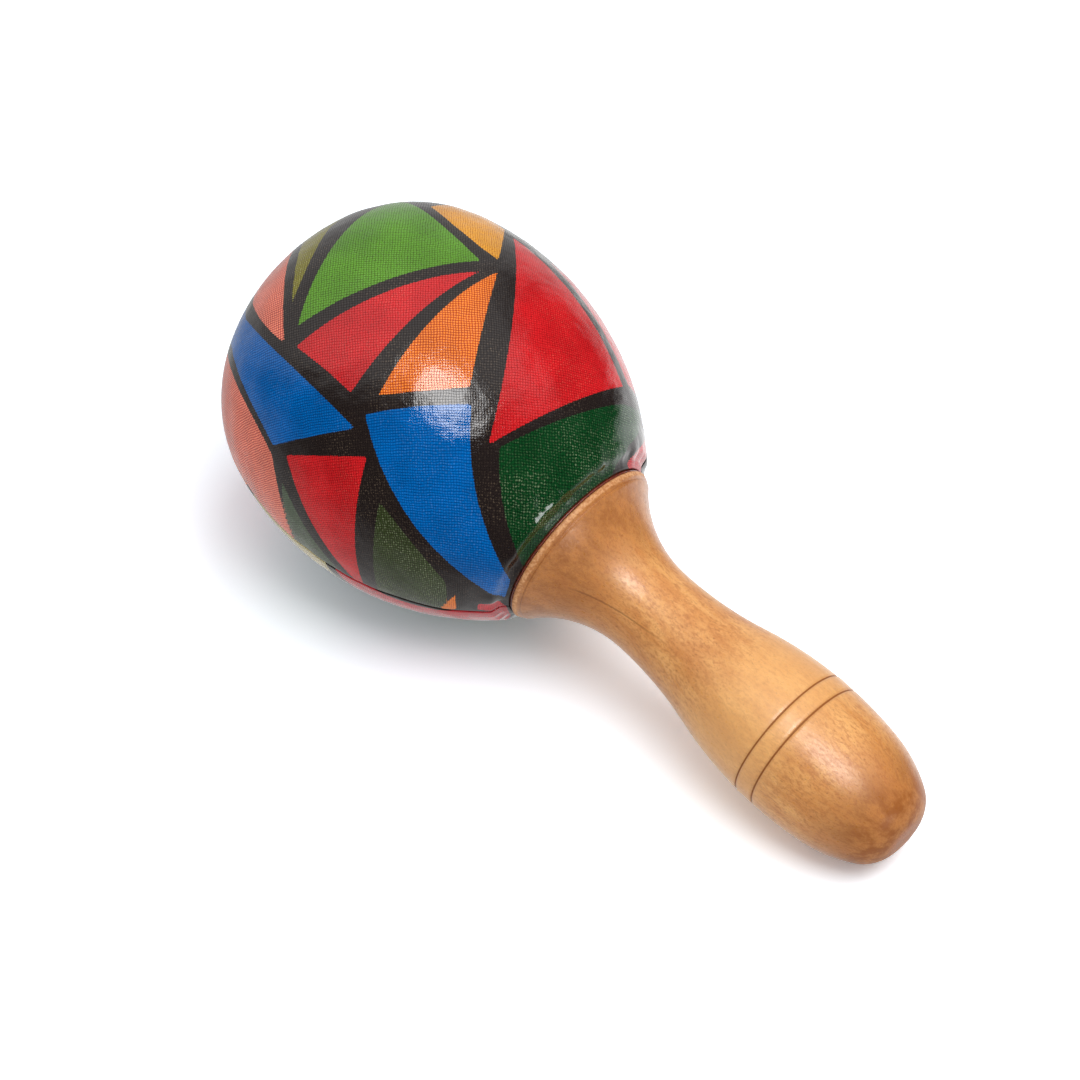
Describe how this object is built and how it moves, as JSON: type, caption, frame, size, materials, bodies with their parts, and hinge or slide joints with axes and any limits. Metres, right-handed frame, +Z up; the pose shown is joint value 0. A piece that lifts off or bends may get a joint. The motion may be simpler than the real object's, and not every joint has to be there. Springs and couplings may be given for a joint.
{
  "type": "maraca",
  "caption": "Hand rattle: a hollow egg-shaped head covered in printed cloth, holding loose seeds, on a turned wooden handle with a flared collar and a grooved knob.",
  "frame": {"origin": "on the floor, at the middle of the bounding box's underside, with the maraca lying at rest on its head and knob", "axes": "+Z up, +X from the head towards the handle's end along the floor; the turning axis leans down towards the handle by about 12.3 degrees in the XZ plane"},
  "size_m": [0.1975, 0.0888, 0.0898],
  "materials": {
    "turned_wood": "clear satin lacquer over pale honey-coloured wood",
    "pulp": "bare moulded pulp",
    "printed_cloth_upper": "printed plain-weave cotton under glossy lacquer, many-coloured panels between black bars",
    "printed_cloth_lower": "printed plain-weave cotton under glossy lacquer, many-coloured panels between black bars",
    "red_cloth": "dark red cotton strip",
    "seed_coat": "dry brown seed coat, slightly polished"
  },
  "bodies": {
    "maraca": {"handle": "turned_wood", "shell_upper": "pulp", "shell_lower": "pulp", "cover_upper": "printed_cloth_upper", "cover_lower": "printed_cloth_lower", "neck_binding": "red_cloth"},
    "seed_01": {"seed_01": "seed_coat"},
    "seed_02": {"seed_02": "seed_coat"},
    "seed_03": {"seed_03": "seed_coat"},
    "seed_04": {"seed_04": "seed_coat"},
    "seed_05": {"seed_05": "seed_coat"},
    "seed_06": {"seed_06": "seed_coat"},
    "seed_07": {"seed_07": "seed_coat"},
    "seed_08": {"seed_08": "seed_coat"},
    "seed_09": {"seed_09": "seed_coat"},
    "seed_10": {"seed_10": "seed_coat"},
    "seed_11": {"seed_11": "seed_coat"},
    "seed_12": {"seed_12": "seed_coat"},
    "seed_13": {"seed_13": "seed_coat"},
    "seed_14": {"seed_14": "seed_coat"},
    "seed_15": {"seed_15": "seed_coat"},
    "seed_16": {"seed_16": "seed_coat"},
    "seed_17": {"seed_17": "seed_coat"},
    "seed_18": {"seed_18": "seed_coat"},
    "seed_19": {"seed_19": "seed_coat"},
    "seed_20": {"seed_20": "seed_coat"},
    "seed_21": {"seed_21": "seed_coat"},
    "seed_22": {"seed_22": "seed_coat"},
    "seed_23": {"seed_23": "seed_coat"},
    "seed_24": {"seed_24": "seed_coat"},
    "seed_25": {"seed_25": "seed_coat"},
    "seed_26": {"seed_26": "seed_coat"},
    "seed_27": {"seed_27": "seed_coat"},
    "seed_28": {"seed_28": "seed_coat"},
    "seed_29": {"seed_29": "seed_coat"},
    "seed_30": {"seed_30": "seed_coat"},
    "seed_31": {"seed_31": "seed_coat"}
  },
  "joints": [
    {"name": "seed_01_hop", "type": "slide", "parent": "maraca", "child": "seed_01", "axis": [0, 0, 1], "range_m": [0, 0.0681]},
    {"name": "seed_02_hop", "type": "slide", "parent": "maraca", "child": "seed_02", "axis": [0, 0, 1], "range_m": [0, 0.067]},
    {"name": "seed_03_hop", "type": "slide", "parent": "maraca", "child": "seed_03", "axis": [0, 0, 1], "range_m": [0, 0.0715]},
    {"name": "seed_04_hop", "type": "slide", "parent": "maraca", "child": "seed_04", "axis": [0, 0, 1], "range_m": [0, 0.0725]},
    {"name": "seed_05_hop", "type": "slide", "parent": "maraca", "child": "seed_05", "axis": [0, 0, 1], "range_m": [0, 0.0721]},
    {"name": "seed_06_hop", "type": "slide", "parent": "maraca", "child": "seed_06", "axis": [0, 0, 1], "range_m": [0, 0.0703]},
    {"name": "seed_07_hop", "type": "slide", "parent": "maraca", "child": "seed_07", "axis": [0, 0, 1], "range_m": [0, 0.067]},
    {"name": "seed_08_hop", "type": "slide", "parent": "maraca", "child": "seed_08", "axis": [0, 0, 1], "range_m": [0, 0.0731]},
    {"name": "seed_09_hop", "type": "slide", "parent": "maraca", "child": "seed_09", "axis": [0, 0, 1], "range_m": [0, 0.0746]},
    {"name": "seed_10_hop", "type": "slide", "parent": "maraca", "child": "seed_10", "axis": [0, 0, 1], "range_m": [0, 0.0749]},
    {"name": "seed_11_hop", "type": "slide", "parent": "maraca", "child": "seed_11", "axis": [0, 0, 1], "range_m": [0, 0.0738]},
    {"name": "seed_12_hop", "type": "slide", "parent": "maraca", "child": "seed_12", "axis": [0, 0, 1], "range_m": [0, 0.0714]},
    {"name": "seed_13_hop", "type": "slide", "parent": "maraca", "child": "seed_13", "axis": [0, 0, 1], "range_m": [0, 0.0675]},
    {"name": "seed_14_hop", "type": "slide", "parent": "maraca", "child": "seed_14", "axis": [0, 0, 1], "range_m": [0, 0.0748]},
    {"name": "seed_15_hop", "type": "slide", "parent": "maraca", "child": "seed_15", "axis": [0, 0, 1], "range_m": [0, 0.0757]},
    {"name": "seed_16_hop", "type": "slide", "parent": "maraca", "child": "seed_16", "axis": [0, 0, 1], "range_m": [0, 0.0753]},
    {"name": "seed_17_hop", "type": "slide", "parent": "maraca", "child": "seed_17", "axis": [0, 0, 1], "range_m": [0, 0.0736]},
    {"name": "seed_18_hop", "type": "slide", "parent": "maraca", "child": "seed_18", "axis": [0, 0, 1], "range_m": [0, 0.0705]},
    {"name": "seed_19_hop", "type": "slide", "parent": "maraca", "child": "seed_19", "axis": [0, 0, 1], "range_m": [0, 0.0731]},
    {"name": "seed_20_hop", "type": "slide", "parent": "maraca", "child": "seed_20", "axis": [0, 0, 1], "range_m": [0, 0.0746]},
    {"name": "seed_21_hop", "type": "slide", "parent": "maraca", "child": "seed_21", "axis": [0, 0, 1], "range_m": [0, 0.0749]},
    {"name": "seed_22_hop", "type": "slide", "parent": "maraca", "child": "seed_22", "axis": [0, 0, 1], "range_m": [0, 0.0738]},
    {"name": "seed_23_hop", "type": "slide", "parent": "maraca", "child": "seed_23", "axis": [0, 0, 1], "range_m": [0, 0.0714]},
    {"name": "seed_24_hop", "type": "slide", "parent": "maraca", "child": "seed_24", "axis": [0, 0, 1], "range_m": [0, 0.0675]},
    {"name": "seed_25_hop", "type": "slide", "parent": "maraca", "child": "seed_25", "axis": [0, 0, 1], "range_m": [0, 0.0715]},
    {"name": "seed_26_hop", "type": "slide", "parent": "maraca", "child": "seed_26", "axis": [0, 0, 1], "range_m": [0, 0.0725]},
    {"name": "seed_27_hop", "type": "slide", "parent": "maraca", "child": "seed_27", "axis": [0, 0, 1], "range_m": [0, 0.0721]},
    {"name": "seed_28_hop", "type": "slide", "parent": "maraca", "child": "seed_28", "axis": [0, 0, 1], "range_m": [0, 0.0703]},
    {"name": "seed_29_hop", "type": "slide", "parent": "maraca", "child": "seed_29", "axis": [0, 0, 1], "range_m": [0, 0.067]},
    {"name": "seed_30_hop", "type": "slide", "parent": "maraca", "child": "seed_30", "axis": [0, 0, 1], "range_m": [0, 0.0681]},
    {"name": "seed_31_hop", "type": "slide", "parent": "maraca", "child": "seed_31", "axis": [0, 0, 1], "range_m": [0, 0.067]}
  ]
}
